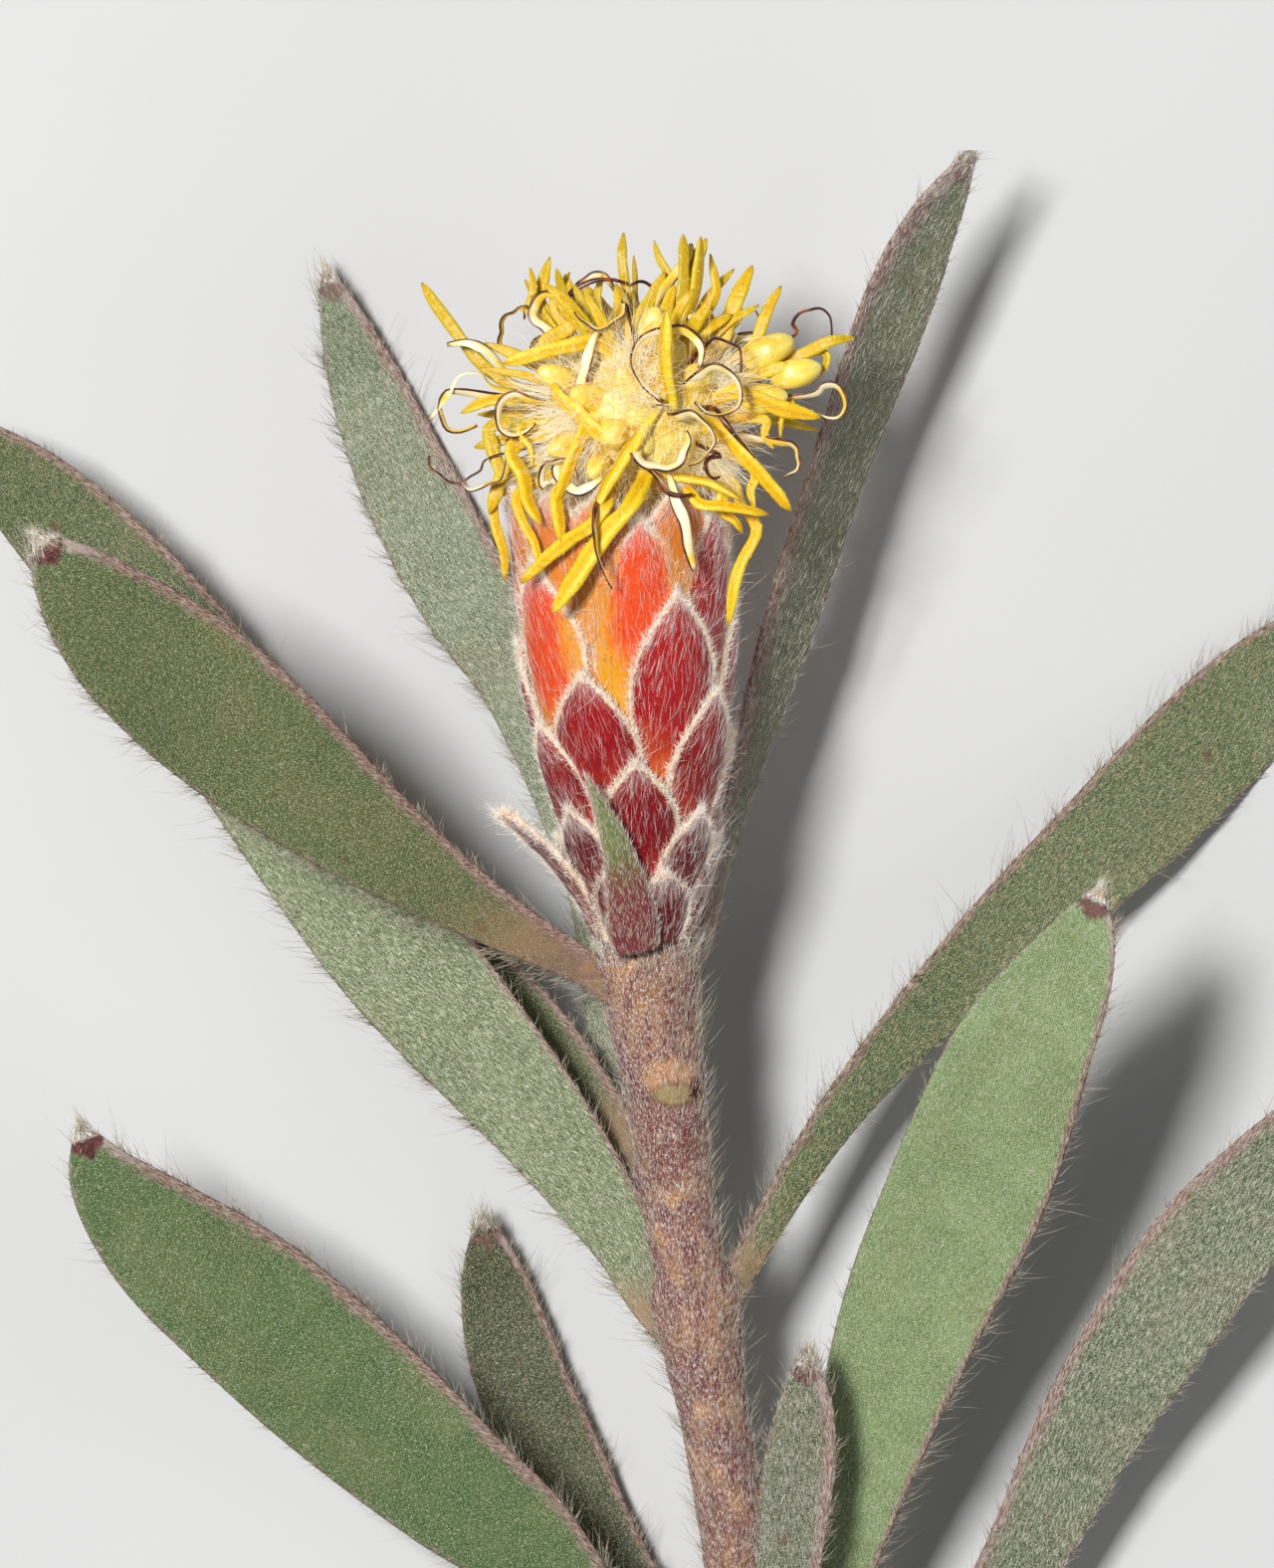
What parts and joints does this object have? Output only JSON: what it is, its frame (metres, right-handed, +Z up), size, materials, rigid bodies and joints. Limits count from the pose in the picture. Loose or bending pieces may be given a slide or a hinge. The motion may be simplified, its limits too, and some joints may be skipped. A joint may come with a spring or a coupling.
{
  "type": "conebush flower shoot",
  "caption": "Cut conebush shoot: one flower head of overlapping red bracts with a crown of curling yellow florets, on a hairy stem with silky grey-green leaves, lying on its back",
  "frame": {"origin": "the middle of the part's bounding box across and along, on the surface that the shoot lies on", "axes": "+Y along the shoot from the cut end towards the flower head, +Z up from the surface, +X to the right as seen from above with the flower head at the top"},
  "size_m": [0.0768, 0.0952, 0.029],
  "materials": {
    "bark": "matte, hairy",
    "leaf": "silky",
    "bract": "satin, silky",
    "leafy_bract": "silky",
    "floret": "satin"
  },
  "bodies": {
    "root": {"stem": "bark", "leaf_1": "leaf", "leaf_2": "leaf", "leaf_3": "leaf", "leaf_4": "leaf", "leaf_5": "leaf", "leaf_6": "leaf", "leaf_7": "leaf", "leaf_8": "leaf", "leaf_9": "leaf", "leaf_10": "leaf", "leaf_11": "leaf", "involucre": "bract", "leafy_bract": "leafy_bract", "florets": "floret"}
  },
  "joints": []
}
